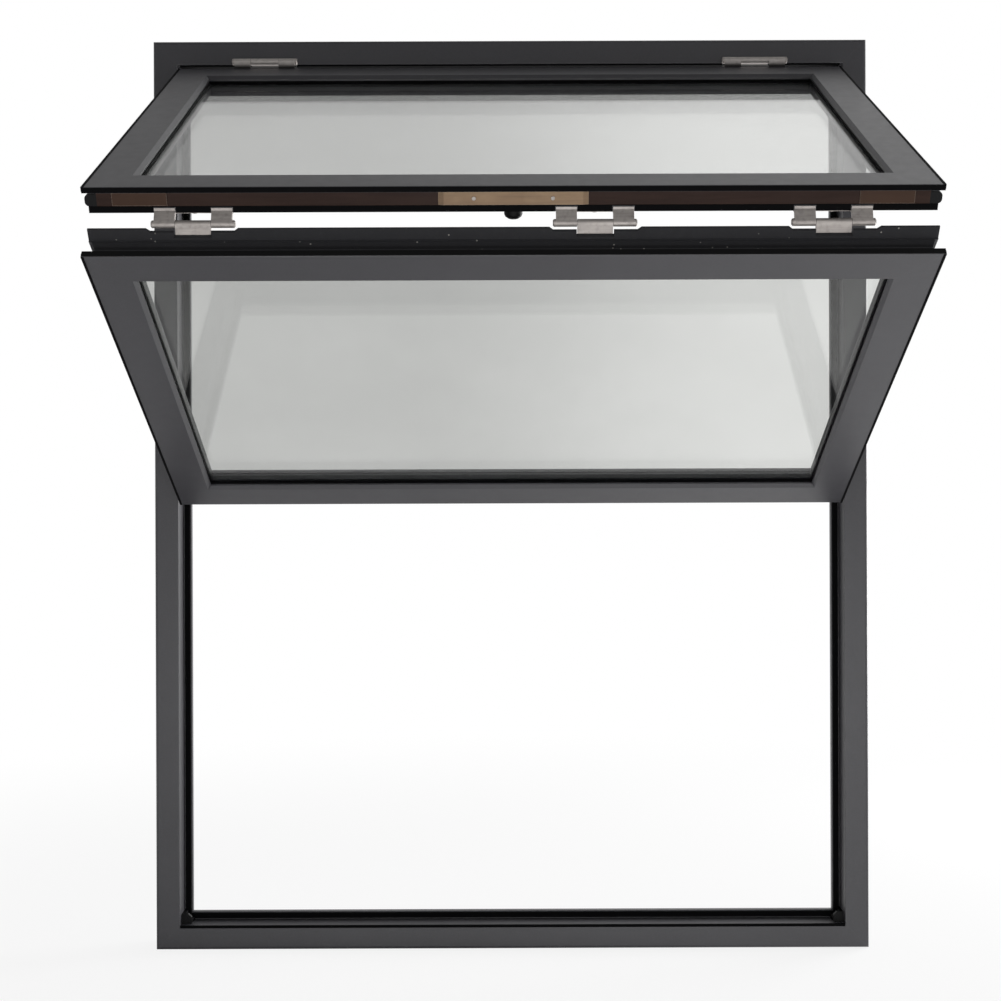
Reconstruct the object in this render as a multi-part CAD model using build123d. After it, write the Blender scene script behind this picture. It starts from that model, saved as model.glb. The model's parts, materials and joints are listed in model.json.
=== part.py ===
# Fold-up service window: a wall frame with two glazed sashes, the upper one hinged
# to the head and the lower one hinged to the upper, shown half folded open.
# Millimetres, +Z up, outside towards -Y, origin at the middle of the sill's underside.

import math
import os
from build123d import *

# Frame sizes
frame_width = 1200.0
frame_height = 1529.0
frame_depth = 70.0
frame_face = 40.0
frame_edge_round = 5.0
reveal_depth = 47.0
stop_height = 13.0
stop_depth = 10.0
sill_notch_height = 4.0
sill_notch_depth = 5.0
sill_strip_depth = 3.5

# Sash sizes
sash_gap = 5.0
meeting_gap = 8.0
sash_inset = 2.0
sash_face = 60.5
sash_bevel = 5.0
lip_depth = 8.0
groove_width = 19.0
groove_depth = 17.0
flange_depth = 8.5
flange_setback = 6.0
bead_leg_setback = 36.0
bead_leg_depth = 4.5
rebate_wall = 44.0
glass_leg_depth = 8.0
corner_round = 1.2

# Glazing sizes
gasket_depth = 5.0
gasket_lip = 1.0
pane_thickness = 5.0
pane_gap = 10.0
pane_clearance = 4.0
spacer_width = 13.5
bead_width = 17.0
bead_slope = 3.0

# Hinge sizes
head_barrel_radius = 5.5
knee_barrel_radius = 5.0
pin_wall = 2.25
pin_clearance = 0.05
pin_head_length = 4.0
pin_head_chamfer = 1.4
knuckle_end = 27.0
knuckle_middle = 46.0
knuckle_gap = 0.5
knee_leaf_thickness = 2.5
knee_leaf_margin = 4.0
knee_leaf_corner = 4.0
upper_tab_reach = 6.5
lower_tab_reach = 0.5
knee_axis_behind_flange = 12.5
head_leaf_thickness = 2.0
head_leaf_reach = 25.0
head_axis_forward = 7.0
head_axis_up = 3.0
head_hinge_inset = 189.0
knee_hinge_inset = 141.0
knee_hinge_offset = 105.5

# Lock, seal and small part sizes
lock_bar_thickness = 2.0
lock_bar_clearance = 1.0
keeper_length = 194.0
keeper_thickness = 2.5
keeper_end_slope = 7.0
keeper_end_thickness = 0.8
end_plate_length = 71.0
end_plate_thickness = 1.5
end_plate_inset = 20.0
knob_radius = 12.0
knob_height = 14.0
knob_side = 7.5
corner_pad_length = 26.0
corner_pad_inset = 1.5
corner_pad_clearance = 3.0
corner_pad_round = 6.0
seal_foot = 1.5
seal_thickness = 5.0
seal_tip = 2.5
seal_lean = 4.5
seal_rise = 15.0
seal_hinge_drop = 4.0
seal_tab_drop = 11.0
seal_hinge_slant = 5.0
seal_tab_clearance = 1.0
lip_cap_thickness = 1.5
lip_cap_inset = 0.6
cover_end_inset = 10.0
flange_seal_thickness = 1.0
flange_seal_clearance = 1.0
frame_seal_width = 9.0
frame_seal_depth = 4.5
frame_seal_inset = 2.0
block_front = 15.0
block_depth = 7.0
block_reach = 17.0
block_arm = 6.0
block_chamfer = 6.0

# Fold of the shown pose, each sash from upright
upper_fold = 63.2
lower_fold = 63.5

# Places that follow from the sizes
front = -frame_depth / 2
half_frame = frame_width / 2
half_opening = half_frame - frame_face
opening_low = frame_face
opening_high = frame_height - frame_face
half_sash = half_opening - sash_gap
sash_height = (opening_high - opening_low - 2 * sash_gap - meeting_gap) / 2
lower_low = opening_low + sash_gap
lower_high = lower_low + sash_height
upper_low = lower_high + meeting_gap
upper_high = upper_low + sash_height
sash_front = front + sash_inset
groove_end = lip_depth + groove_width
flange_end = groove_end + flange_depth
bead_leg_end = flange_end + bead_leg_depth
pane_edge = rebate_wall + pane_clearance
outer_pane_front = glass_leg_depth + gasket_depth
outer_pane_back = outer_pane_front + pane_thickness
inner_pane_front = outer_pane_back + pane_gap
inner_pane_back = inner_pane_front + pane_thickness
hinge_length = 2 * knuckle_end + knuckle_middle + 2 * knuckle_gap
head_hinge_x = half_frame - head_hinge_inset
knee_hinge_x = half_sash - knee_hinge_inset

head_axis = Axis((0, front - head_axis_forward, opening_high + head_axis_up), (-1, 0, 0))
knee_axis = Axis(
    (0, sash_front + flange_end + knee_axis_behind_flange, lower_high + meeting_gap / 2),
    (1, 0, 0),
)

os.makedirs("parts", exist_ok=True)


def box(x0, x1, y0, y1, z0, z1):
    centre = Vector((x0 + x1) / 2, (y0 + y1) / 2, (z0 + z1) / 2)
    return Pos(centre) * Box(abs(x1 - x0), abs(y1 - y0), abs(z1 - z0))


def prism_x(points, x0, x1):
    outline = Wire.make_polygon([Vector(x0, y, z) for y, z in points], close=True)
    return Solid.extrude(Face(outline), Vector(x1 - x0, 0, 0))


def prism_y(points, y0, y1):
    outline = Wire.make_polygon([Vector(x, y0, z) for x, z in points], close=True)
    return Solid.extrude(Face(outline), Vector(0, y1 - y0, 0))


def prism_z(points, z0, z1):
    outline = Wire.make_polygon([Vector(x, y, z0) for x, y in points], close=True)
    return Solid.extrude(Face(outline), Vector(0, 0, z1 - z0))


def rod_x(radius, x0, x1, y, z):
    place = Plane(origin=(x0, y, z), x_dir=(0, 1, 0), z_dir=(1, 0, 0))
    return Solid.make_cylinder(radius, x1 - x0, place)


# A member runs along one side of a rectangle and is mitred at both ends.
# Its profile is given from the outer edge inwards and from the outer face backwards.
def mitred(side, profile, half, low, high, y_front):
    reach = max(across for across, back in profile) + 1
    deep = max(back for across, back in profile) + 1
    if side in ("bottom", "top"):
        edge, turn = (low, 1) if side == "bottom" else (high, -1)
        points = [(y_front + back, edge + turn * across) for across, back in profile]
        bar = prism_x(points, -half, half)
        wedge = [
            (-half, edge),
            (half, edge),
            (half - reach, edge + turn * reach),
            (-half + reach, edge + turn * reach),
        ]
    else:
        edge, turn = (-half, 1) if side == "left" else (half, -1)
        points = [(edge + turn * across, y_front + back) for across, back in profile]
        bar = prism_z(points, low, high)
        wedge = [
            (edge, low),
            (edge, high),
            (edge + turn * reach, high - reach),
            (edge + turn * reach, low + reach),
        ]
    return bar & prism_y(wedge, y_front - 1, y_front + deep)


def rounded(profile, corner, radius, steps=4):
    # Replaces one right-angled corner of a profile by short chords of an arc.
    before = profile[corner - 1]
    here = profile[corner]
    after = profile[(corner + 1) % len(profile)]
    into = Vector(here[0] - before[0], here[1] - before[1]).normalized()
    away = Vector(after[0] - here[0], after[1] - here[1]).normalized()
    middle = Vector(*here) - into * radius + away * radius
    arc = []
    for step in range(steps + 1):
        turn = Axis((0, 0, 0), (0, 0, 1))
        swing = 90.0 * step / steps
        sign = 1 if into.cross(away).Z > 0 else -1
        spoke = (away * -radius).rotate(turn, sign * swing)
        arc.append((middle.X + spoke.X, middle.Y + spoke.Y))
    return profile[:corner] + arc + profile[corner + 1:]


def ring(across0, across1, back0, back1, half, low, high, y_front):
    outer = box(-half + across0, half - across0, y_front + back0, y_front + back1,
                low + across0, high - across0)
    inner = box(-half + across1, half - across1, y_front + back0 - 1, y_front + back1 + 1,
                low + across1, high - across1)
    return outer - inner


def save(name, *solids):
    shape = solids[0] if len(solids) == 1 else Compound(children=list(solids))
    export_step(shape, "parts/" + name + ".step")


def fold_upper(solid):
    return solid.rotate(head_axis, upper_fold)


def fold_lower(solid):
    return solid.rotate(knee_axis, upper_fold + lower_fold).rotate(head_axis, upper_fold)


# Frame: one stepped profile, mitred at the four corners
frame_profile = [
    (0.0, 0.0),
    (frame_face, 0.0),
    (frame_face, reveal_depth),
    (frame_face + stop_height, reveal_depth),
    (frame_face + stop_height, reveal_depth + stop_depth),
    (frame_face, reveal_depth + stop_depth),
    (frame_face, frame_depth),
    (0.0, frame_depth),
]
frame_profile = rounded(frame_profile, 1, corner_round, 3)
frame_profile = rounded(frame_profile, 0, frame_edge_round, 5)

for side, name in (("top", "frame_head"), ("left", "frame_jamb_left"), ("right", "frame_jamb_right")):
    save(name, mitred(side, frame_profile, half_frame, 0, frame_height, front))

# Sill: the same profile with a notch along its front edge for a black strip
sill = mitred("bottom", frame_profile, half_frame, 0, frame_height, front)
notch_low = opening_low - sill_notch_height
notch = box(-half_opening, half_opening, front - 1, front + sill_notch_depth, notch_low, opening_low + 1)
save("frame_sill", sill - notch)
strip_front = front + sill_notch_depth - sill_strip_depth
save("sill_front_strip", box(-half_opening, half_opening, strip_front, front + sill_notch_depth,
                             notch_low, opening_low))

# Seal on the front of the stop
seal_outer = frame_face + frame_seal_inset
frame_seal = ring(seal_outer, seal_outer + frame_seal_width, reveal_depth - frame_seal_depth,
                  reveal_depth, half_frame, 0, frame_height, front)
save("frame_seal", frame_seal)

# Corner blocks in the two lower corners of the reveal, shaped to pass inside the sash's edge groove
blocks = []
for turn in (-1, 1):
    corner = turn * half_opening
    body_points = [
        (corner, opening_low),
        (corner - turn * block_reach, opening_low),
        (corner - turn * block_reach, opening_low + block_reach - block_chamfer),
        (corner - turn * (block_reach - block_chamfer), opening_low + block_reach),
        (corner, opening_low + block_reach),
    ]
    body = prism_y(body_points, front + block_front, front + block_front + block_depth)
    arm_back = front + reveal_depth - frame_seal_depth
    side_arm = box(corner - turn * block_arm, corner, front + block_front, arm_back,
                   opening_low, opening_low + block_reach)
    sill_arm = box(corner - turn * block_reach, corner, front + block_front, arm_back,
                   opening_low, opening_low + block_arm)
    blocks.append(body + side_arm + sill_arm)
save("sill_corner_blocks", *blocks)


# Sash: lip, edge groove, inner flange, bead leg and glazing rebate in one profile
def sash_profile():
    profile = [
        (0.0, 0.0),
        (sash_face - sash_bevel, 0.0),
        (sash_face, sash_bevel),
        (sash_face, glass_leg_depth),
        (rebate_wall, glass_leg_depth),
        (rebate_wall, bead_leg_end),
        (bead_leg_setback, bead_leg_end),
        (bead_leg_setback, flange_end),
        (flange_setback, flange_end),
        (flange_setback, groove_end),
        (groove_depth, groove_end),
        (groove_depth, lip_depth),
        (0.0, lip_depth),
    ]
    return rounded(profile, 0, corner_round, 3)


def make_sash(prefix, low, high, fold):
    profile = sash_profile()
    names = {
        "top": prefix + "_top_rail",
        "bottom": prefix + "_bottom_rail",
        "left": prefix + "_left_stile",
        "right": prefix + "_right_stile",
    }
    for side, name in names.items():
        save(name, fold(mitred(side, profile, half_sash, low, high, sash_front)))
    gasket = ring(pane_edge, sash_face + gasket_lip, glass_leg_depth, outer_pane_front,
                  half_sash, low, high, sash_front)
    save(prefix + "_glazing_gasket", fold(gasket))
    pane_x = half_sash - pane_edge
    for name, start in (("_outer_pane", outer_pane_front), ("_inner_pane", inner_pane_front)):
        pane = box(-pane_x, pane_x, sash_front + start, sash_front + start + pane_thickness,
                   low + pane_edge, high - pane_edge)
        save(prefix + name, fold(pane))
    spacer = ring(pane_edge, pane_edge + spacer_width, outer_pane_back, inner_pane_front,
                  half_sash, low, high, sash_front)
    save(prefix + "_glass_spacer", fold(spacer))
    bead_profile = [
        (rebate_wall, inner_pane_back),
        (rebate_wall + bead_width, inner_pane_back),
        (rebate_wall + bead_width, inner_pane_back + bead_slope),
        (rebate_wall + bead_width - bead_slope, bead_leg_end),
        (rebate_wall, bead_leg_end),
    ]
    beads = [fold(mitred(side, bead_profile, half_sash, low, high, sash_front)) for side in names]
    save(prefix + "_glazing_beads", *beads)


make_sash("upper", upper_low, upper_high, fold_upper)
make_sash("lower", lower_low, lower_high, fold_lower)


# Hinge knuckles along X about an axis, as three lengths with small gaps
def knuckle_spans(middle_x):
    start = middle_x - hinge_length / 2
    first = (start, start + knuckle_end)
    second = (first[1] + knuckle_gap, first[1] + knuckle_gap + knuckle_middle)
    third = (second[1] + knuckle_gap, second[1] + knuckle_gap + knuckle_end)
    return first, second, third


# A pin turned about the hinge axis, with a chamfered head at each end
def hinge_pin(middle_x, axis, barrel_radius):
    y, z = axis.position.Y, axis.position.Z
    shank = barrel_radius - pin_wall
    half = hinge_length / 2
    end = half + pin_head_length
    half_outline = [
        (half, shank),
        (half, barrel_radius),
        (end - pin_head_chamfer, barrel_radius),
        (end, barrel_radius - pin_head_chamfer),
        (end, 0.0),
    ]
    outline = [(-along, radius) for along, radius in reversed(half_outline)] + half_outline
    corners = [Vector(middle_x + along, y, z + radius) for along, radius in outline]
    section = Wire.make_polygon(corners, close=True)
    return Solid.revolve(Face(section), 360, Axis((middle_x, y, z), (1, 0, 0)))


def bored(solid, middle_x, axis, barrel_radius):
    y, z = axis.position.Y, axis.position.Z
    reach = hinge_length / 2 + 1
    bore = barrel_radius - pin_wall + pin_clearance
    return solid - rod_x(bore, middle_x - reach, middle_x + reach, y, z)


# Head hinges: the middle knuckle stays on the frame, the end knuckles ride on the sash
head_y, head_z = head_axis.position.Y, head_axis.position.Z
head_pins = []
for turn, side in ((-1, "left"), (1, "right")):
    middle_x = turn * head_hinge_x
    x0 = middle_x - hinge_length / 2
    x1 = middle_x + hinge_length / 2
    first, second, third = knuckle_spans(middle_x)
    plate_low = opening_high - head_leaf_thickness
    leaf = box(x0, x1, front + 2 * head_leaf_thickness, front + head_leaf_reach, plate_low, opening_high)
    leaf = leaf + box(*second, head_y, front + 3 * head_leaf_thickness, plate_low, opening_high)
    leaf = leaf + rod_x(head_barrel_radius, *second, head_y, head_z)
    save("head_hinge_" + side + "_frame_leaf", bored(leaf, middle_x, head_axis, head_barrel_radius))

    edge = upper_high
    plate = box(x0, x1, sash_front, sash_front + head_leaf_reach, edge, edge + head_leaf_thickness)
    foot = box(x0, x1, sash_front + lip_depth, sash_front + groove_end, edge - groove_depth, edge)
    plate = plate + foot
    half_barrel = head_barrel_radius / 2
    for span in (first, third):
        neck = [
            (sash_front + head_leaf_thickness, edge),
            (sash_front + head_leaf_thickness, edge + head_leaf_thickness),
            (front - head_leaf_thickness / 2, edge + head_leaf_thickness),
            (head_y + half_barrel, head_z - half_barrel),
            (head_y - half_barrel, head_z - half_barrel),
            (head_y - half_barrel, edge + head_leaf_thickness),
            (front - 1.5 * head_leaf_thickness, edge),
        ]
        plate = plate + prism_x(neck, *span) + rod_x(head_barrel_radius, *span, head_y, head_z)
    plate = bored(plate, middle_x, head_axis, head_barrel_radius)
    save("head_hinge_" + side + "_sash_leaf", fold_upper(plate))
    head_pins.append(hinge_pin(middle_x, head_axis, head_barrel_radius))
save("head_hinge_pins", *head_pins)

# Knee hinges: each leaf is an angle on the sash's inner face, with tabs that fold over the
# sash's edge and run on into the knuckles, at the ends on the upper sash, midway on the lower
knee_y, knee_z = knee_axis.position.Y, knee_axis.position.Z
leaf_front = sash_front + flange_end
leaf_back = leaf_front + knee_leaf_thickness


def knee_leaf(edge, turn, middle_x, tab_reach, spans):
    seat = edge + turn * flange_setback
    tab_face = seat - turn * knee_leaf_thickness
    plate_start = seat + turn * 2 * knee_leaf_thickness
    far = edge + turn * (bead_leg_setback - knee_leaf_margin)
    half = hinge_length / 2
    leaf = box(middle_x - half, middle_x + half, leaf_front, leaf_back, plate_start, far)
    across = leaf.edges().filter_by(Axis.Y).sort_by(Axis.Z)
    leaf = leaf.solid().fillet(knee_leaf_corner, across[-2:] if turn > 0 else across[:2])
    # The tab's outer face bends midway and runs on as a tangent to the barrel.
    bend_y = leaf_front - tab_reach / 2
    ahead = Vector(knee_y - bend_y, knee_z - tab_face)
    swing = math.degrees(math.asin(knee_barrel_radius / ahead.length))
    slant = ahead.normalized().rotate(Axis((0, 0, 0), (0, 0, 1)), -turn * swing)
    run = math.sqrt(ahead.length ** 2 - knee_barrel_radius ** 2)
    for span in spans:
        tab = [
            (leaf_front - tab_reach, seat),
            (leaf_front, seat),
            (leaf_front, plate_start + turn * knee_leaf_thickness),
            (leaf_back, plate_start + turn * knee_leaf_thickness),
            (leaf_back, seat),
            (knee_y, knee_z + turn * knee_barrel_radius / 2),
            (knee_y, knee_z),
            (bend_y + slant.X * run, tab_face + slant.Y * run),
            (bend_y, tab_face),
            (leaf_front - tab_reach, tab_face),
        ]
        leaf = leaf + prism_x(tab, *span) + rod_x(knee_barrel_radius, *span, knee_y, knee_z)
    return bored(leaf, middle_x, knee_axis, knee_barrel_radius)


knee_hinge_places = (-knee_hinge_x, knee_hinge_offset, knee_hinge_x)
knee_pins = []
for middle_x, side in zip(knee_hinge_places, ("left", "middle", "right")):
    first, second, third = knuckle_spans(middle_x)
    upper_leaf = knee_leaf(upper_low, 1, middle_x, upper_tab_reach, (first, third))
    save("knee_hinge_" + side + "_upper_leaf", fold_upper(upper_leaf))
    lower_leaf = knee_leaf(lower_high, -1, middle_x, lower_tab_reach, (second,))
    save("knee_hinge_" + side + "_lower_leaf", fold_lower(lower_leaf))
    knee_pins.append(fold_upper(hinge_pin(middle_x, knee_axis, knee_barrel_radius)))
save("knee_hinge_pins", *knee_pins)

# Lock bar as a cover strip across the groove of the upper sash's lower edge, flush with the
# flange, with the keeper and the end plates on it
lip_back = sash_front + lip_depth
groove_back = sash_front + groove_end
bar_half = half_sash - groove_depth
bar_low = upper_low + flange_setback
lock_bar = box(-bar_half, bar_half, lip_back, groove_back, bar_low, bar_low + lock_bar_thickness)
save("lock_bar", fold_upper(lock_bar))
plate_y0 = lip_back + lock_bar_clearance
plate_y1 = groove_back - lock_bar_clearance
half_keeper = keeper_length / 2
keeper_points = [
    (-half_keeper, bar_low),
    (half_keeper, bar_low),
    (half_keeper, bar_low - keeper_end_thickness),
    (half_keeper - keeper_end_slope, bar_low - keeper_thickness),
    (-half_keeper + keeper_end_slope, bar_low - keeper_thickness),
    (-half_keeper, bar_low - keeper_end_thickness),
]
save("lock_keeper", fold_upper(prism_y(keeper_points, plate_y0, plate_y1)))
end_plates = []
for turn in (-1, 1):
    outer_x = turn * (bar_half - end_plate_inset)
    plate = box(outer_x - turn * end_plate_length, outer_x, plate_y0, plate_y1,
                bar_low - end_plate_thickness, bar_low)
    end_plates.append(fold_upper(plate))
save("lock_bar_end_plates", *end_plates)

# Lock knob on the inner face of the upper sash's lower rail, turned with a rounded top
knob_z = upper_low + (flange_setback + bead_leg_setback) / 2
knob_outline = [
    (0.0, 0.0),
    (knob_radius, 0.0),
    (knob_radius, knob_side),
    (0.9 * knob_radius, knob_side + 0.45 * (knob_height - knob_side)),
    (0.62 * knob_radius, knob_side + 0.85 * (knob_height - knob_side)),
    (0.3 * knob_radius, knob_height),
    (0.0, knob_height),
]
knob_section = Wire.make_polygon([Vector(x, leaf_front + y, knob_z) for x, y in knob_outline], close=True)
knob = Solid.revolve(Face(knob_section), 360, Axis((0, leaf_front, knob_z), (0, 1, 0)))
save("lock_knob", fold_upper(knob))

# Rounded pads that fill the side grooves at the upper sash's lower corners
pads = []
for turn in (-1, 1):
    inner_x = turn * bar_half
    outer_x = turn * (half_sash - corner_pad_inset)
    pad = box(inner_x, outer_x, lip_back + corner_pad_clearance, groove_back,
              bar_low, bar_low + corner_pad_length)
    outer_edges = pad.edges().filter_by(Axis.Z).sort_by(Axis.X)
    round_edges = outer_edges[:2] if turn < 0 else outer_edges[2:]
    pads.append(fold_upper(pad.solid().fillet(corner_pad_round, round_edges)))
save("upper_corner_pads", *pads)

# Rubber on the upper sash's lower edge: a cap on the lip and a thin strip on the flange,
# left out around the hinge tabs
cap_half = half_sash - lip_cap_inset
upper_cap = box(-cap_half, cap_half, sash_front + lip_cap_inset, lip_back - lip_cap_inset,
                upper_low - lip_cap_thickness, upper_low)
strip_half = half_sash - flange_setback
flange_strip = box(-strip_half, strip_half, groove_back, leaf_front, bar_low - flange_seal_thickness, bar_low)
for middle_x in knee_hinge_places:
    first, second, third = knuckle_spans(middle_x)
    for low_x, high_x in (first, third):
        room = box(low_x - flange_seal_clearance, high_x + flange_seal_clearance,
                   leaf_front - upper_tab_reach - flange_seal_clearance, leaf_back,
                   bar_low - 2 * flange_seal_thickness, bar_low + flange_seal_thickness)
        flange_strip = flange_strip - room
save("upper_lip_seal", fold_upper(upper_cap), fold_upper(flange_strip))

# Rubber on the lower sash's upper edge: a cap on the lip that runs on as a cover in the
# groove, with slanted ends
cover_top = lower_high - flange_setback
cover_points = [
    (lip_back, lower_high - groove_depth),
    (groove_back, lower_high - groove_depth),
    (groove_back, cover_top),
    (lip_back + 2 * lip_cap_thickness, cover_top),
    (lip_back + lip_cap_thickness, lower_high + lip_cap_thickness),
    (lip_back, lower_high + lip_cap_thickness),
]
cover_reach = half_sash - cover_end_inset
ends = [
    (-bar_half, lip_back),
    (bar_half, lip_back),
    (cover_reach, groove_back),
    (-cover_reach, groove_back),
]
cover = prism_x(cover_points, -half_sash, half_sash) & prism_z(ends, lower_low, upper_high)
cover = cover + box(-cap_half, cap_half, sash_front + lip_cap_inset, lip_back,
                    lower_high, lower_high + lip_cap_thickness)
save("lower_edge_cover", fold_lower(cover))

# Meeting seal on the lower sash's upper flange, trimmed lower along each knee hinge
seal_low = lower_high - flange_setback
seal_top = seal_low + seal_rise
seal_back = sash_front + flange_end - lower_tab_reach - seal_tab_clearance
half_seal = half_sash - flange_setback
seal_points = [
    (groove_back, seal_low),
    (seal_back, seal_low),
    (seal_back + seal_lean, seal_top),
    (seal_back + seal_lean - seal_tip, seal_top),
    (seal_back - seal_thickness, seal_low + seal_foot),
    (groove_back, seal_low + seal_foot),
]
meeting_seal = prism_x(seal_points, -half_seal, half_seal)
hinge_top = seal_top - seal_hinge_drop
tab_top = seal_top - seal_tab_drop
for middle_x in knee_hinge_places:
    first, second, third = knuckle_spans(middle_x)
    low_x = first[0] - pin_head_length
    high_x = third[1] + pin_head_length
    trim = [
        (low_x - seal_hinge_slant, seal_top),
        (low_x, hinge_top),
        (second[0] - seal_tab_clearance, hinge_top),
        (second[0] - seal_tab_clearance, tab_top),
        (second[1] + seal_tab_clearance, tab_top),
        (second[1] + seal_tab_clearance, hinge_top),
        (high_x, hinge_top),
        (high_x + seal_hinge_slant, seal_top),
        (high_x + seal_hinge_slant, seal_top + seal_foot),
        (low_x - seal_hinge_slant, seal_top + seal_foot),
    ]
    meeting_seal = meeting_seal - prism_y(trim, groove_back, seal_back + seal_lean + seal_thickness)
save("meeting_seal", fold_lower(meeting_seal))
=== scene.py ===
# Looks of the fold-up service window: finishes for the imported solids, small screws and thin black
# strips, the studio around it and the camera. Metres, in the imported model's own frame.

import json
import math

import bmesh
import bpy
from mathutils import Matrix, Vector


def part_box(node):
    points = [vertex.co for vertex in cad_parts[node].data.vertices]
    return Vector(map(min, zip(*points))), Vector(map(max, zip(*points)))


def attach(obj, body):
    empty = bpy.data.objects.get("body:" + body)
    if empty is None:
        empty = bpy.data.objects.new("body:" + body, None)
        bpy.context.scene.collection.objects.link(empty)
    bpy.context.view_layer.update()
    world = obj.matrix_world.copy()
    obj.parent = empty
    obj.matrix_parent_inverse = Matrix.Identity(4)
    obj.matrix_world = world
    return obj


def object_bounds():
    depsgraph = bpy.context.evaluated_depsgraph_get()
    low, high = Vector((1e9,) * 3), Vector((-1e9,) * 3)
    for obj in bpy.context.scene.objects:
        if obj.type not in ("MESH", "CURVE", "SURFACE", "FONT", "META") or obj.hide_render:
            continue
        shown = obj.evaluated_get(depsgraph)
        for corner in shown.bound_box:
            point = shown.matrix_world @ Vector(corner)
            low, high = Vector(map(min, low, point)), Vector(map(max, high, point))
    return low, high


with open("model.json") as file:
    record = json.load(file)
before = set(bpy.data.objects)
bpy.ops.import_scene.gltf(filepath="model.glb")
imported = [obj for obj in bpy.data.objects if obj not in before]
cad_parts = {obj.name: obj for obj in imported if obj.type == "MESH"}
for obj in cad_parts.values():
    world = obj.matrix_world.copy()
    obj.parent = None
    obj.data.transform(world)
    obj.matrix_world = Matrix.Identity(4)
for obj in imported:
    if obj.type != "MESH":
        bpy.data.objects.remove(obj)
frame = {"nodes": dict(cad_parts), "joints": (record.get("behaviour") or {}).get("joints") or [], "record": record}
cad_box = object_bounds()
nodes = frame["nodes"]
joints = {joint["name"]: joint for joint in frame["joints"]}
sashes = {"upper": "upper_sash", "lower": "lower_sash"}

# Camera as fitted to the photograph, whose frame is a square of this many pixels
image_side = 1001
focal_pixels = 1616.85
sensor_width = 36.0
camera_place = (-0.018, -2.756, 0.7545)
camera_tilt = 90.0
camera_roll = 0.2

# Screws, on the keeper plate and on the inner side of the knee hinges' leaves
screw_radius = 0.0038
keeper_screw_radius = 0.0026
screw_height = 0.0012
screw_sides = 20
screw_chamfer = 0.45 * screw_height
socket_share = 0.55
socket_depth = 0.7 * screw_height
keeper_screw_offset = 0.051
leaf_screw_spacing = 0.034

# Thin black strips: the angle along the sashes' upright edges, and the flat strip that fills the gap under the
# head
edge_strip_width = 0.0034
edge_strip_wrap = 0.006
edge_strip_thickness = 0.0004
head_strip_width = 0.016
head_strip_thickness = 0.0025
head_strip_margin = 0.002
head_front_band = 0.002
strip_ease = 0.00015

# Where a finish changes on one piece: the wiped lip of the lower sash, and the darkening on a hinge
# leaf, which starts and is full at these distances from the hinge's axis
lip_depth = 0.008
wiped_blend = 0.0008
dark_start = 0.0062
dark_full = 0.0105

# Studio floor
floor_radius = 14.0
floor_sides = 96
floor_drop = 0.0005


# Folding: a closed place on a sash, turned to where the sash rests
def turned_about(joint, degrees, place=None):
    pivot = Vector(joint["pos_m"]) if place is None else place
    turn = Matrix.Rotation(math.radians(degrees), 4, Vector(joint["axis"]))
    return Matrix.Translation(pivot) @ turn @ Matrix.Translation(-pivot)


head_fold = joints["head_fold"]
knee_fold = joints["knee_fold"]
upper_fold = turned_about(head_fold, -head_fold["range_deg"][0])
knee_closed = upper_fold.inverted() @ Vector(knee_fold["pos_m"])
lower_fold = upper_fold @ turned_about(knee_fold, -knee_fold["range_deg"][0], knee_closed)
folds = {"frame": Matrix.Identity(4), "upper_sash": upper_fold, "lower_sash": lower_fold}


def closed_corners(node, body):
    back = folds[body].inverted()
    return [back @ vertex.co for vertex in nodes[node].data.vertices]


def closed_box(node, body):
    corners = closed_corners(node, body)
    low = Vector([min(corner[axis] for corner in corners) for axis in range(3)])
    high = Vector([max(corner[axis] for corner in corners) for axis in range(3)])
    return low, high


# Where the lower sash's front lip begins, along the way that its front faces at rest
lower_front_way = lower_fold.to_3x3() @ Vector((0, -1, 0))
lip_back = closed_box("lower_top_rail", "lower_sash")[0].y + lip_depth
lip_start = lower_front_way.dot(lower_fold @ Vector((0, lip_back, 0)))


# Shader nodes that the finishes and the studio share
def combined(tree, operation, first, second):
    node = tree.nodes.new("ShaderNodeMath")
    node.operation = operation
    tree.links.new(first, node.inputs[0])
    tree.links.new(second, node.inputs[1])
    return node.outputs["Value"]


def mix_onto(output, tree, share, first, second):
    mix = tree.nodes.new("ShaderNodeMixShader")
    tree.links.new(share, mix.inputs["Fac"])
    tree.links.new(first, mix.inputs[1])
    tree.links.new(second, mix.inputs[2])
    tree.links.new(mix.outputs["Shader"], output.inputs["Surface"])


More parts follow.
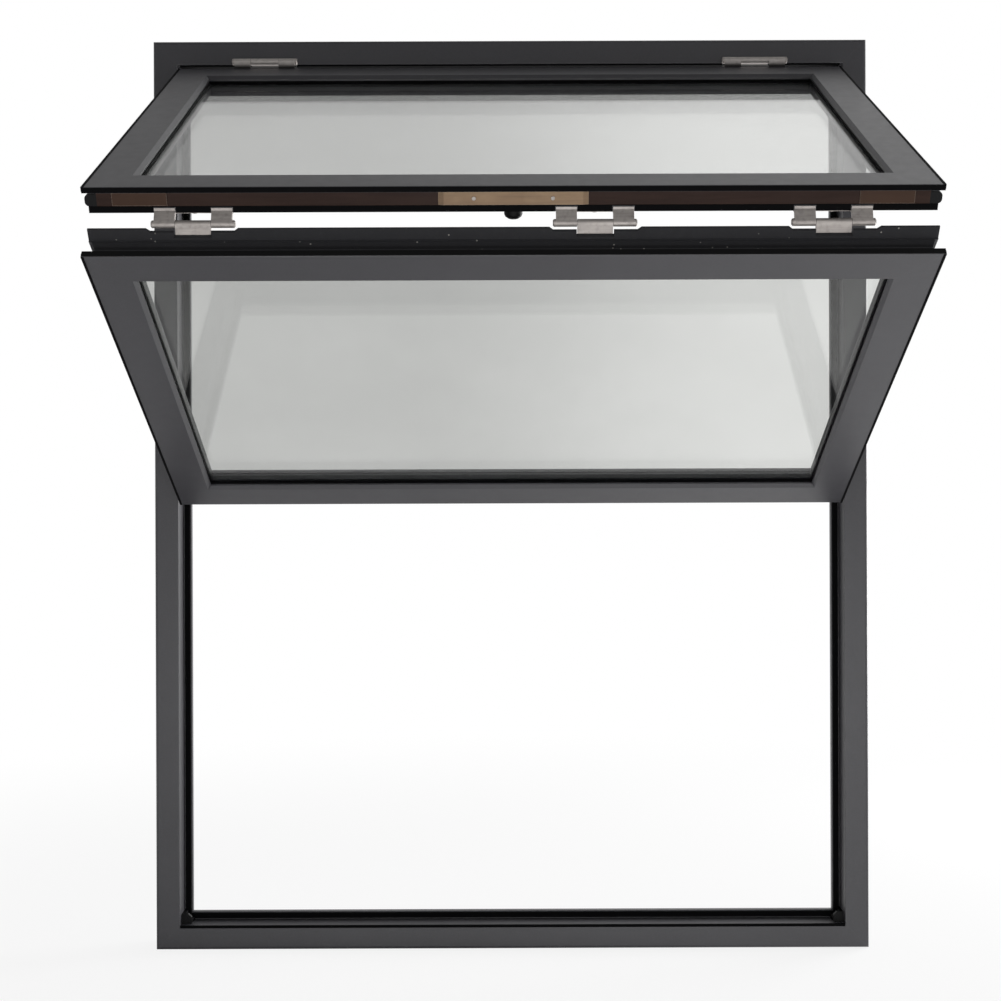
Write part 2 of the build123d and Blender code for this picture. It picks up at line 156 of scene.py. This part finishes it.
# Materials
class Finish:
    """One procedural material, with its noise read in the part's own coordinates."""

    def __init__(self, name):
        self.material = bpy.data.materials.new(name)
        self.material.use_nodes = True
        self.tree = self.material.node_tree
        self.shader = self.tree.nodes["Principled BSDF"]
        self.place = self.node("ShaderNodeTexCoord").outputs["Object"]

    def node(self, kind, **settings):
        made = self.tree.nodes.new(kind)
        for name, value in settings.items():
            setattr(made, name, value)
        return made

    def link(self, source, target):
        self.tree.links.new(source, target)

    def feed(self, value, socket):
        if isinstance(value, bpy.types.NodeSocket):
            self.link(value, socket)
        else:
            socket.default_value = value

    def set(self, **values):
        for name, value in values.items():
            self.shader.inputs[name.replace("_", " ")].default_value = value

    def colour(self, source):
        self.link(source, self.shader.inputs["Base Color"])

    def rough(self, source):
        self.link(source, self.shader.inputs["Roughness"])

    def bump(self, height, strength, distance=0.0002):
        bump = self.node("ShaderNodeBump")
        bump.inputs["Strength"].default_value = strength
        bump.inputs["Distance"].default_value = distance
        self.link(height, bump.inputs["Height"])
        self.link(bump.outputs["Normal"], self.shader.inputs["Normal"])

    def drawn_along(self, share):
        # Noise read at this place is drawn out along the window's width
        mapping = self.node("ShaderNodeMapping")
        mapping.inputs["Scale"].default_value = (share, 1.0, 1.0)
        self.link(self.place, mapping.inputs["Vector"])
        return mapping.outputs["Vector"]

    def noise(self, scale, detail=2.0, roughness=0.5, place=None):
        noise = self.node("ShaderNodeTexNoise")
        noise.inputs["Scale"].default_value = scale
        noise.inputs["Detail"].default_value = detail
        noise.inputs["Roughness"].default_value = roughness
        self.link(place or self.place, noise.inputs["Vector"])
        return noise.outputs["Fac"]

    def ramp(self, source, stops):
        ramp = self.node("ShaderNodeValToRGB")
        for point, (position, colour) in zip(ramp.color_ramp.elements, stops):
            point.position = position
            point.color = (*colour, 1.0)
        self.link(source, ramp.inputs["Fac"])
        return ramp.outputs["Color"]

    def spread(self, source, low, high, start=0.0, end=1.0):
        spread = self.node("ShaderNodeMapRange")
        spread.inputs["From Min"].default_value = start
        spread.inputs["From Max"].default_value = end
        spread.inputs["To Min"].default_value = low
        spread.inputs["To Max"].default_value = high
        self.link(source, spread.inputs["Value"])
        return spread.outputs["Result"]

    def mixed(self, share, base, colour):
        mix = self.node("ShaderNodeMix", data_type="RGBA")
        self.feed(share, mix.inputs["Factor"])
        self.link(base, mix.inputs["A"])
        mix.inputs["B"].default_value = (*colour, 1.0)
        return mix.outputs["Result"]

    def vector(self, operation, first, second=None):
        made = self.node("ShaderNodeVectorMath", operation=operation)
        self.link(first, made.inputs[0])
        if second is not None:
            self.feed(second, made.inputs[1])
        return made.outputs["Value" if operation in ("LENGTH", "DOT_PRODUCT") else "Vector"]

    def worn_and_highlit(self, base, bare, radius, most, start=0.75, end=0.99):
        # Lightens the edges towards a bare colour: partly wear, partly a painted highlight along the edges
        # How far the surface turns within a small radius: one on flat faces, less at an edge
        bevel = self.node("ShaderNodeBevel", samples=4)
        bevel.inputs["Radius"].default_value = radius
        flat = self.node("ShaderNodeNewGeometry").outputs["Normal"]
        alike = self.vector("DOT_PRODUCT", bevel.outputs["Normal"], flat)
        return self.mixed(self.spread(alike, most, 0.0, start, end), base, bare)


def powder_coat():
    finish = Finish("charcoal_powder_coat")
    cloud = finish.noise(scale=9.0, detail=3.0)
    fleck = finish.noise(scale=420.0, roughness=0.6)
    grain = finish.noise(scale=1900.0)
    sheen = finish.noise(scale=60.0, detail=4.0)
    base = finish.ramp(cloud, [(0.3, (0.040, 0.039, 0.045)), (0.7, (0.047, 0.046, 0.053))])
    flecks = finish.spread(fleck, 0.0, 0.5, start=0.35, end=0.75)
    base = finish.mixed(flecks, base, (0.060, 0.058, 0.066))
    # Lighter edges on the coat: rubbed paint, partly a painted highlight along the edges
    finish.colour(finish.worn_and_highlit(base, (0.080, 0.078, 0.081), radius=0.0011, most=0.55, start=0.80))
    finish.set(Specular_IOR_Level=0.7)
    finish.rough(finish.spread(sheen, 0.36, 0.46))
    finish.bump(grain, strength=0.16, distance=0.0003)
    return finish.material


def glazing_glass():
    finish = Finish("clear_glazing")
    haze = finish.noise(scale=5.0, detail=4.0, roughness=0.6)
    smears = finish.noise(scale=14.0, detail=5.0, roughness=0.65)
    finish.colour(finish.ramp(haze, [(0.3, (0.82, 0.825, 0.815)), (0.75, (0.85, 0.855, 0.845))]))
    finish.rough(finish.spread(smears, 0.0, 0.03, start=0.5, end=0.9))
    finish.set(IOR=1.25, Transmission_Weight=1.0)
    # The panes let the lamps through, a little dimmed
    clear = finish.node("ShaderNodeBsdfTransparent")
    clear.inputs["Color"].default_value = (0.835, 0.84, 0.83, 1.0)
    shadow_ray = finish.node("ShaderNodeLightPath").outputs["Is Shadow Ray"]
    output = finish.tree.nodes["Material Output"]
    mix_onto(output, finish.tree, shadow_ray, finish.shader.outputs["BSDF"], clear.outputs["BSDF"])
    return finish.material


def brushed_steel(name, darkened_about=None):
    finish = Finish(name)
    strokes = finish.noise(scale=260.0, detail=3.0, roughness=0.6, place=finish.drawn_along(0.06))
    smears = finish.noise(scale=70.0, detail=3.0)
    tarnish = finish.noise(scale=160.0, detail=3.0)
    base = finish.ramp(strokes, [(0.25, (0.38, 0.35, 0.333)), (0.8, (0.56, 0.525, 0.50))])
    dull = finish.spread(tarnish, 0.0, 0.5, start=0.5, end=0.85)
    base = finish.mixed(dull, base, (0.19, 0.175, 0.165))
    base = finish.worn_and_highlit(base, (0.62, 0.59, 0.57), radius=0.0007, most=0.7)
    if darkened_about:
        # Beyond the polished barrel the leaves turn dark, near the frame's charcoal
        away = finish.vector("SUBTRACT", finish.place, darkened_about)
        across = finish.vector("MULTIPLY", away, (0.0, 1.0, 1.0))
        darkening = finish.spread(finish.vector("LENGTH", across), 0.0, 1.0, dark_start, dark_full)
        polished = finish.mixed(0.12, base, (0.82, 0.80, 0.78))
        base = finish.mixed(darkening, polished, (0.04, 0.038, 0.037))
    finish.colour(base)
    finish.set(Metallic=1.0)
    finish.rough(finish.spread(smears, 0.58, 0.72))
    finish.bump(strokes, strength=0.22)
    return finish.material


def bronze_plate():
    finish = Finish("satin_bronze")
    strokes = finish.noise(scale=190.0, detail=3.0, roughness=0.6, place=finish.drawn_along(0.08))
    stain = finish.noise(scale=26.0, detail=3.0)
    base = finish.ramp(stain, [(0.35, (0.168, 0.112, 0.070)), (0.65, (0.215, 0.149, 0.093))])
    scored = finish.spread(strokes, 0.0, 0.5, start=0.4, end=0.8)
    base = finish.mixed(scored, base, (0.095, 0.065, 0.046))
    finish.colour(finish.worn_and_highlit(base, (0.32, 0.27, 0.20), radius=0.001, most=0.8))
    finish.set(Metallic=0.75)
    finish.rough(finish.spread(stain, 0.34, 0.5))
    finish.bump(strokes, strength=0.15)
    return finish.material


def brown_lacquer(name, lit_copy_worn_edges):
    finish = Finish(name)
    streak = finish.noise(scale=60.0, detail=4.0, roughness=0.6, place=finish.drawn_along(0.10))
    patch = finish.noise(scale=7.0)
    base = finish.ramp(streak, [(0.3, (0.026, 0.0125, 0.0092)), (0.75, (0.048, 0.0260, 0.0200))])
    faded = finish.spread(patch, 0.0, 0.45, start=0.5, end=0.8)
    base = finish.mixed(faded, base, (0.052, 0.033, 0.027))
    if lit_copy_worn_edges:
        # A lighter copy of the lacquer: painted light, as the lamp on the right falls on the end plates; their
        # edges lighter still, worn and partly a painted highlight
        base = finish.mixed(0.6, base, (0.092, 0.052, 0.034))
        base = finish.worn_and_highlit(base, (0.34, 0.28, 0.23), radius=0.0012, most=0.9)
    finish.colour(base)
    finish.set(Specular_IOR_Level=0.12)
    finish.rough(finish.spread(streak, 0.42, 0.58))
    finish.bump(streak, strength=0.12)
    return finish.material


def moulded_black():
    finish = Finish("moulded_black")
    grain = finish.noise(scale=700.0)
    scuff = finish.noise(scale=55.0, detail=4.0, roughness=0.65)
    base = finish.ramp(scuff, [(0.35, (0.0030, 0.0030, 0.0034)), (0.8, (0.0060, 0.0058, 0.0062))])
    finish.colour(finish.worn_and_highlit(base, (0.014, 0.0125, 0.0125), radius=0.0009, most=0.6))
    finish.set(Specular_IOR_Level=0.16)
    finish.rough(finish.spread(scuff, 0.42, 0.6))
    finish.bump(grain, strength=0.2)
    return finish.material


def seal_rubber():
    finish = Finish("seal_rubber")
    bloom = finish.noise(scale=34.0, detail=4.0, roughness=0.6)
    finish.colour(finish.ramp(bloom, [(0.35, (0.0012, 0.0012, 0.0016)), (0.8, (0.0026, 0.0026, 0.0032))]))
    finish.set(Specular_IOR_Level=0.07)
    finish.rough(finish.spread(bloom, 0.62, 0.82))
    finish.bump(finish.noise(scale=900.0), strength=0.25)
    return finish.material


def dusty_rubber():
    finish = Finish("dusty_cover_rubber")
    bloom = finish.noise(scale=34.0, detail=4.0, roughness=0.6)
    film = finish.noise(scale=120.0, detail=5.0, roughness=0.7)
    dusted = finish.spread(film, 0.0, 0.35, start=0.5, end=0.8)
    base = finish.ramp(dusted, [(0.0, (0.030, 0.030, 0.033)), (1.0, (0.050, 0.050, 0.053))])
    # A few pale specks of grit
    grit = finish.node("ShaderNodeTexVoronoi")
    grit.inputs["Scale"].default_value = 62.0
    finish.link(finish.place, grit.inputs["Vector"])
    speck = finish.spread(grit.outputs["Distance"], 1.0, 0.0, start=0.035, end=0.085)
    drift = finish.noise(scale=4.0, detail=3.0, roughness=0.7)
    strewn = finish.spread(drift, 0.0, 1.0, start=0.34, end=0.48)
    shown = combined(finish.tree, "MULTIPLY", speck, strewn)
    base = finish.mixed(shown, base, (0.42, 0.40, 0.37))
    # The lip in front of the cover is wiped clean
    outward = finish.vector("DOT_PRODUCT", finish.place, lower_front_way)
    wiped = finish.spread(outward, 0.0, 1.0, lip_start - wiped_blend, lip_start)
    finish.colour(finish.mixed(wiped, base, (0.0012, 0.0012, 0.0014)))
    finish.set(Specular_IOR_Level=0.2)
    finish.rough(finish.spread(bloom, 0.62, 0.82))
    finish.bump(finish.noise(scale=900.0), strength=0.25)
    return finish.material


def spacer_bar():
    finish = Finish("dark_spacer_bar")
    grain = finish.noise(scale=320.0, detail=3.0)
    finish.colour(finish.ramp(grain, [(0.35, (0.020, 0.021, 0.023)), (0.75, (0.040, 0.041, 0.044))]))
    finish.rough(finish.spread(grain, 0.4, 0.55))
    finish.bump(grain, strength=0.1)
    return finish.material


finishes = {
    "charcoal_paint": powder_coat(),
    "clear_glass": glazing_glass(),
    "stainless": brushed_steel("brushed_stainless"),
    "bronze_plate": bronze_plate(),
    "brown_bar": brown_lacquer("brown_lacquer", lit_copy_worn_edges=False),
    "black_plastic": moulded_black(),
    "dark_spacer": spacer_bar(),
    "black_rubber": seal_rubber(),
}
dusty_cover = dusty_rubber()
part_dark_steel = brushed_steel("part_darkened_stainless", darkened_about=head_fold["pos_m"])
own_finishes = {
    "meeting_seal": dusty_cover,
    "lower_edge_cover": dusty_cover,
    # The end plates take the lighter copy of the lacquer, painted light
    "lock_bar_end_plates": brown_lacquer("end_plate_lit_lacquer", lit_copy_worn_edges=True),
    "head_hinge_left_frame_leaf": part_dark_steel,
    "head_hinge_left_sash_leaf": part_dark_steel,
    "head_hinge_right_frame_leaf": part_dark_steel,
    "head_hinge_right_sash_leaf": part_dark_steel,
}
for subpart in frame["record"]["subparts"]:
    finish = own_finishes.get(subpart["node"], finishes[subpart["material_slot"]])
    for slot in nodes[subpart["node"]].material_slots:
        slot.material = finish


# Pieces made here
def raised(mesh, face, rise):
    grown = bmesh.ops.extrude_face_region(mesh, geom=[face])["geom"]
    corners = [item for item in grown if isinstance(item, bmesh.types.BMVert)]
    bmesh.ops.translate(mesh, verts=corners, vec=rise)
    return next(item for item in grown if isinstance(item, bmesh.types.BMFace))


def eased(mesh, edges, offset):
    bmesh.ops.bevel(mesh, geom=edges, offset=offset, offset_type="OFFSET",
                    affect="EDGES", segments=2, profile=0.5, material=-1)


def finished_piece(mesh, name, body, slot):
    bmesh.ops.recalc_face_normals(mesh, faces=mesh.faces)
    data = bpy.data.meshes.new(name)
    mesh.to_mesh(data)
    mesh.free()
    piece = bpy.data.objects.new(name, data)
    bpy.context.scene.collection.objects.link(piece)
    data.materials.append(finishes[slot])
    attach(piece, body)


# Screws: a low chamfered head with a round socket, set on a face of a sash
def screw(mesh, place, radius):
    before = set(mesh.verts)
    bmesh.ops.create_circle(mesh, cap_ends=True, segments=screw_sides, radius=radius)
    made = [vertex for vertex in mesh.verts if vertex not in before]
    cap = raised(mesh, made[0].link_faces[0], (0, 0, screw_height))
    eased(mesh, list(cap.edges), screw_chamfer)
    fresh = [vertex for vertex in mesh.verts if vertex not in before]
    cap = max({face for vertex in fresh for face in vertex.link_faces if len(face.verts) > 4},
              key=lambda face: face.calc_center_median().z)
    bmesh.ops.inset_region(mesh, faces=[cap], thickness=radius * (1 - socket_share))
    raised(mesh, cap, (0, 0, -socket_depth))
    bmesh.ops.delete(mesh, geom=[cap], context="FACES_ONLY")
    fresh = [vertex for vertex in mesh.verts if vertex not in before]
    bmesh.ops.transform(mesh, matrix=place, verts=fresh)


def screws(name, places, body, radius):
    mesh = bmesh.new()
    for place in places:
        screw(mesh, folds[body] @ place, radius)
    finished_piece(mesh, name, body, "stainless")


facing_down = Matrix.Rotation(math.pi, 4, "X")
facing_room = Matrix.Rotation(-math.pi / 2, 4, "X")
keeper_low, keeper_high = closed_box("lock_keeper", "upper_sash")
keeper_middle = (keeper_low + keeper_high) / 2
keeper_places = []
for side in (-1, 1):
    spot = Vector((keeper_middle.x + side * keeper_screw_offset, keeper_middle.y, keeper_low.z))
    keeper_places.append(Matrix.Translation(spot) @ facing_down)
screws("keeper_screws", keeper_places, "upper_sash", keeper_screw_radius)

for level, body in sashes.items():
    leaf_places = []
    for side in ("left", "middle", "right"):
        leaf = f"knee_hinge_{side}_{level}_leaf"
        leaf_low, leaf_high = closed_box(leaf, body)
        if level == "upper":
            far_z = leaf_high.z
            near_z = closed_box("upper_bottom_rail", body)[0].z
        else:
            far_z = leaf_low.z
            near_z = closed_box("lower_top_rail", body)[1].z
        corners = closed_corners(leaf, body)
        plate_back = max(corner.y for corner in corners if abs(corner.z - far_z) < screw_radius)
        for step in (-1, 0, 1):
            x = (leaf_low.x + leaf_high.x) / 2 + step * leaf_screw_spacing
            spot = Vector((x, plate_back, (far_z + near_z) / 2))
            leaf_places.append(Matrix.Translation(spot) @ facing_room)
    screws(f"knee_leaf_screws_{level}", leaf_places, body, screw_radius)


# Thin black strips: a profile of a few corners run along an edge, then eased all round
def strip(mesh, profile, run, place):
    before = set(mesh.verts)
    start = mesh.faces.new([mesh.verts.new(corner) for corner in profile])
    raised(mesh, start, run)
    fresh = [vertex for vertex in mesh.verts if vertex not in before]
    eased(mesh, list({edge for vertex in fresh for edge in vertex.link_edges}), strip_ease)
    fresh = [vertex for vertex in mesh.verts if vertex not in before]
    bmesh.ops.transform(mesh, matrix=place, verts=fresh)


# Along each sash's upright edges a thin black angle draws a dark line
for level, body in sashes.items():
    mesh = bmesh.new()
    for side, inward in (("left", 1), ("right", -1)):
        low, high = closed_box(f"{level}_{side}_stile", body)
        outer = low.x if side == "left" else high.x
        skin = outer - inward * edge_strip_thickness
        inner = outer + inward * edge_strip_width
        front = low.y - edge_strip_thickness
        behind = low.y + edge_strip_wrap
        profile = [(skin, front, low.z), (skin, behind, low.z), (outer, behind, low.z),
                   (outer, low.y, low.z), (inner, low.y, low.z), (inner, front, low.z)]
        strip(mesh, profile, (0, 0, high.z - low.z), folds[body])
    finished_piece(mesh, f"{level}_edge_strips", body, "black_rubber")

# A flat black strip fills the gap under the head, in three lengths, between and beside the head hinges
head_corners = [vertex.co for vertex in nodes["frame_head"].data.vertices]
head_front = min(corner.y for corner in head_corners)
opening_top = min(corner.z for corner in head_corners if corner.y < head_front + head_front_band)
strip_under = opening_top - head_strip_thickness
sash_low, sash_high = closed_box("upper_top_rail", "upper_sash")
strip_back = sash_low.y + head_strip_width
stops = [sash_low.x]
for side in ("left", "right"):
    leaf_low, leaf_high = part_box(f"head_hinge_{side}_frame_leaf")
    stops += [leaf_low[0] - head_strip_margin, leaf_high[0] + head_strip_margin]
stops.append(sash_high.x)
mesh = bmesh.new()
for start_x, end_x in zip(stops[::2], stops[1::2]):
    profile = [(start_x, sash_low.y, strip_under), (start_x, strip_back, strip_under),
               (start_x, strip_back, opening_top), (start_x, sash_low.y, opening_top)]
    strip(mesh, profile, (end_x - start_x, 0, 0), folds["frame"])
finished_piece(mesh, "head_gap_strip", "frame", "black_rubber")


# Studio: a pale floor that keeps the object's shadow, a soft world, two soft lamps
def fade(tree, source, start, end, low, high):
    spread = tree.nodes.new("ShaderNodeMapRange")
    spread.interpolation_type = "SMOOTHSTEP"
    spread.inputs["From Min"].default_value = start
    spread.inputs["From Max"].default_value = end
    spread.inputs["To Min"].default_value = low
    spread.inputs["To Max"].default_value = high
    tree.links.new(source, spread.inputs["Value"])
    return spread.outputs["Result"]


def split(tree, place):
    parts = tree.nodes.new("ShaderNodeSeparateXYZ")
    tree.links.new(place, parts.inputs["Vector"])
    return parts.outputs


def seen_plainly(tree, rays):
    return combined(tree, "MAXIMUM", rays["Is Camera Ray"], rays["Is Transmission Ray"])


def floor_material():
    material = bpy.data.materials.new("pale_floor")
    material.use_nodes = True
    tree = material.node_tree
    tree.nodes.clear()
    output = tree.nodes.new("ShaderNodeOutputMaterial")
    matt = tree.nodes.new("ShaderNodeBsdfDiffuse")
    matt.inputs["Color"].default_value = (0.86, 0.86, 0.86, 1.0)
    white = tree.nodes.new("ShaderNodeEmission")
    rays = tree.nodes.new("ShaderNodeLightPath").outputs
    place = tree.nodes.new("ShaderNodeTexCoord").outputs["Object"]
    length = tree.nodes.new("ShaderNodeVectorMath")
    length.operation = "LENGTH"
    tree.links.new(place, length.inputs[0])
    reach = length.outputs["Value"]
    # In the paint's reflections the floor glows white on the right and in a ring further out: a painted
    # reflection, emitted for glossy rays only
    rightward = fade(tree, split(tree, place)["X"], -0.1, 0.6, 0.12, 1.0)
    rising = fade(tree, reach, 1.0, 2.2, 0.0, 1.0)
    falling = fade(tree, reach, 4.0, 6.0, 1.0, 0.2)
    ring = combined(tree, "MULTIPLY", rising, falling)
    glowing_patch = combined(tree, "MAXIMUM", rightward, ring)
    glow_in_reflections = combined(tree, "MULTIPLY", rays["Is Glossy Ray"], glowing_patch)
    shown = combined(tree, "MAXIMUM", seen_plainly(tree, rays), glow_in_reflections)
    # Near the window a share of the matt floor stays, with the shadow on it
    share = combined(tree, "MULTIPLY", shown, fade(tree, reach, 0.7, 2.6, 0.86, 1.0))
    mix_onto(output, tree, share, matt.outputs["BSDF"], white.outputs["Emission"])
    return material


def studio_floor():
    mesh = bmesh.new()
    bmesh.ops.create_circle(mesh, cap_ends=True, segments=floor_sides, radius=floor_radius)
    data = bpy.data.meshes.new("studio_floor")
    mesh.to_mesh(data)
    mesh.free()
    floor = bpy.data.objects.new("studio_floor", data)
    bpy.context.scene.collection.objects.link(floor)
    floor.location.z = cad_box[0][2] - floor_drop
    data.materials.append(floor_material())


def studio_world():
    world = bpy.data.worlds.new("studio")
    bpy.context.scene.world = world
    world.use_nodes = True
    tree = world.node_tree
    tree.nodes.clear()
    output = tree.nodes.new("ShaderNodeOutputWorld")
    way = split(tree, tree.nodes.new("ShaderNodeTexCoord").outputs["Generated"])
    rays = tree.nodes.new("ShaderNodeLightPath").outputs
    # Light: stronger from the right, from behind and near the horizon
    side = fade(tree, way["X"], -0.2, 0.3, 0.78, 1.6)
    back = fade(tree, way["Y"], -0.5, 0.6, 0.15, 0.60)
    horizon = fade(tree, way["Z"], 0.0, 0.5, 1.5, 1.0)
    soft_light = combined(tree, "MULTIPLY", combined(tree, "MULTIPLY", side, back), horizon)
    # Gleam: what the paint mirrors from the front, mostly from low down
    front = fade(tree, way["Y"], -0.5, 0.6, 0.46, 0.0)
    low_front = combined(tree, "MULTIPLY", front, fade(tree, way["Z"], 0.05, 0.3, 1.0, 0.15))
    gleam = combined(tree, "MULTIPLY", rays["Is Glossy Ray"], low_front)
    lighting = tree.nodes.new("ShaderNodeBackground")
    tree.links.new(combined(tree, "ADD", soft_light, gleam), lighting.inputs["Strength"])
    # Backdrop: white to the camera, a little dimmer on the left through the glass
    backdrop = tree.nodes.new("ShaderNodeBackground")
    behind_glass = fade(tree, way["X"], -0.06, 0.16, 0.71, 1.0)
    whiteness = combined(tree, "MAXIMUM", rays["Is Camera Ray"], behind_glass)
    tree.links.new(whiteness, backdrop.inputs["Strength"])
    for background in (lighting, backdrop):
        background.inputs["Color"].default_value = (1.0, 1.0, 1.0, 1.0)
    mix_onto(output, tree, seen_plainly(tree, rays),
             lighting.outputs["Background"], backdrop.outputs["Background"])


def soft_lamp(name, place, target, size, power):
    lamp = bpy.data.lights.new(name, "AREA")
    lamp.shape = "RECTANGLE"
    lamp.size, lamp.size_y = size
    lamp.energy = power
    holder = bpy.data.objects.new(name, lamp)
    holder.location = place
    holder.rotation_euler = (Vector(target) - Vector(place)).to_track_quat("-Z", "Y").to_euler()
    holder.visible_camera = False
    holder.visible_transmission = False
    bpy.context.scene.collection.objects.link(holder)


studio_floor()
studio_world()
soft_lamp("low_front_lamp", place=(0.1, -2.5, 0.10), target=(0.0, 0.0, 0.7), size=(1.8, 0.35), power=16.0)
soft_lamp("right_lamp", place=(2.2, 1.3, 0.9), target=(0.0, -0.1, 0.7), size=(1.2, 1.6), power=60.0)

# Camera
lens = bpy.data.cameras.new("camera")
lens.sensor_width = sensor_width
lens.lens = focal_pixels / image_side * sensor_width
camera = bpy.data.objects.new("camera", lens)
camera.location = camera_place
camera.rotation_euler = (math.radians(camera_tilt), math.radians(camera_roll), 0.0)
bpy.context.scene.collection.objects.link(camera)
bpy.context.scene.camera = camera
bpy.context.scene.view_settings.view_transform = "Standard"
